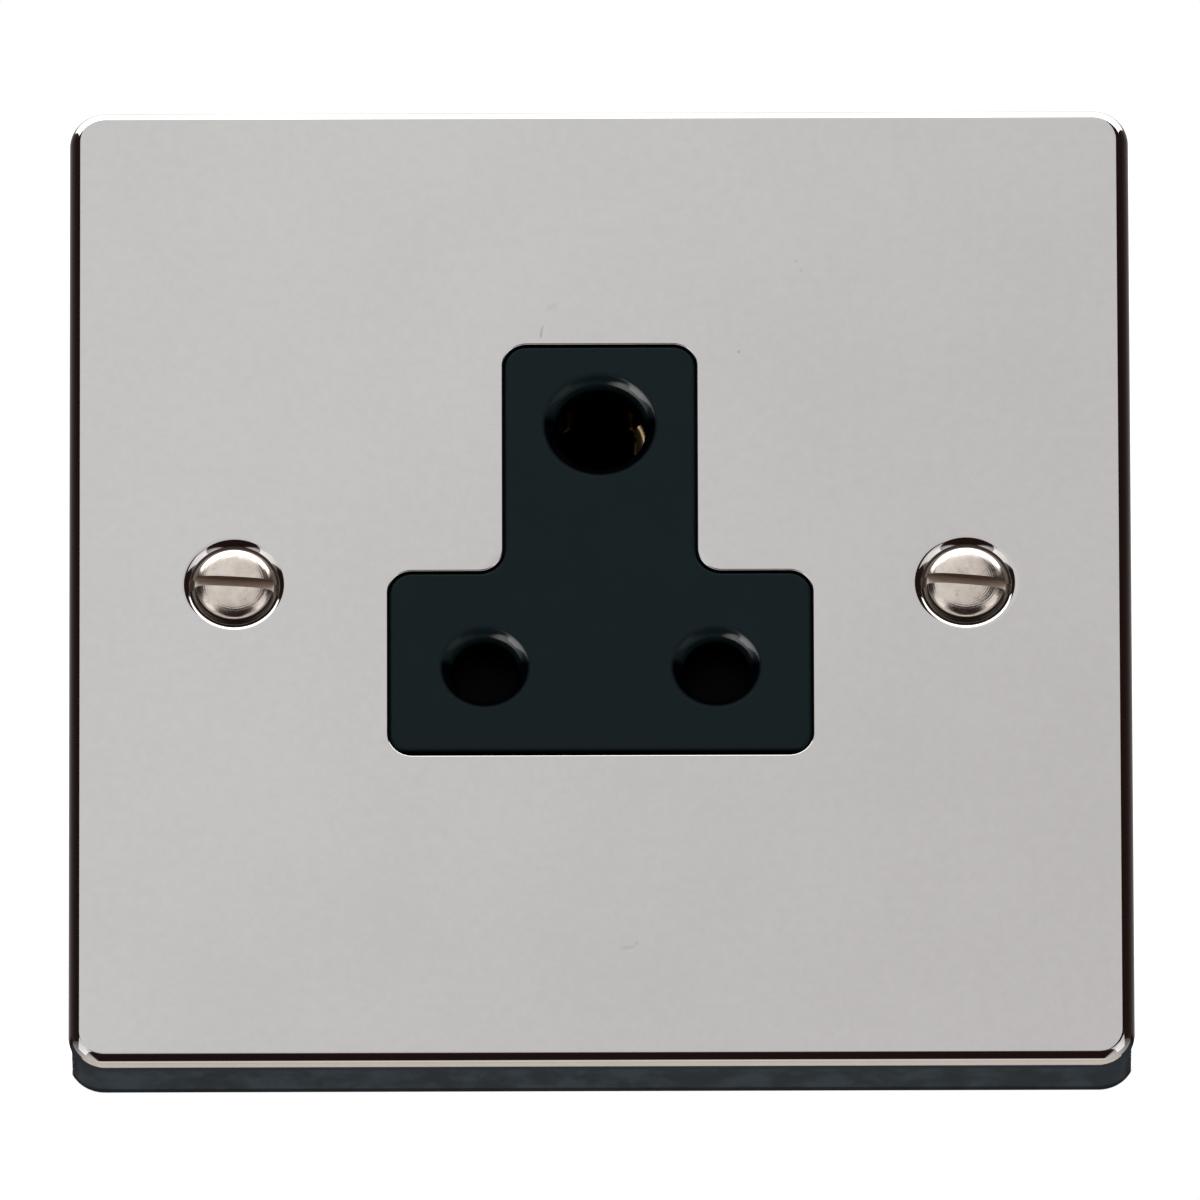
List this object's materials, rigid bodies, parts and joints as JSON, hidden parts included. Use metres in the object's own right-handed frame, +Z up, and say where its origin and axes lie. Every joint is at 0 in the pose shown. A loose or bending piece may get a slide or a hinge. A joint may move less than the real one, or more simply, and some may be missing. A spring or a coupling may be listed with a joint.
{
  "type": "round pin socket",
  "caption": "Square chromed wall plate with a black T-shaped insert for a round pin plug, and a sprung shutter behind its pin holes.",
  "frame": {"origin": "centre of the plate in the wall's plane, midway between the two fixing screws", "axes": "+X to the right seen from the front, +Y into the wall, +Z up"},
  "size_m": [0.0876, 0.0259, 0.0876],
  "materials": {
    "plate_chrome": "polished and chromed brass sheet",
    "screw_nickel": "bright nickel plate",
    "stud_copper": "copper-flashed steel",
    "nut_zinc": "bright zinc plate",
    "insert_black": "satin moulded black",
    "base_black": "matt moulded black",
    "shutter_black": "matt moulded black",
    "spring_steel": "drawn spring wire",
    "contact_brass": "rolled brass strip",
    "terminal_brass": "machined brass",
    "strap_brass": "stamped brass strip",
    "screw_zinc": "zinc-plated steel"
  },
  "bodies": {
    "housing": {"front_plate": "plate_chrome", "fixing_screws": "screw_nickel", "plate_studs": "stud_copper", "stud_nuts": "nut_zinc", "socket_front": "insert_black", "shutter_spring": "spring_steel", "live_contact": "contact_brass", "neutral_contact": "contact_brass", "earth_contact": "contact_brass", "live_terminal": "terminal_brass", "neutral_terminal": "terminal_brass", "earth_terminal": "terminal_brass", "terminal_screws": "screw_zinc", "rear_base": "base_black", "base_screws": "screw_zinc", "earth_strap": "strap_brass", "strap_rivet": "strap_brass"},
    "shutter": {"shutter": "shutter_black"}
  },
  "joints": [
    {"name": "shutter_slide", "type": "slide", "parent": "housing", "child": "shutter", "axis": [0, 0, -1], "range_m": [0, 0.0063], "stiffness_N_per_m": 120, "springref_m": -0.004, "deforming": ["shutter_spring"]}
  ]
}
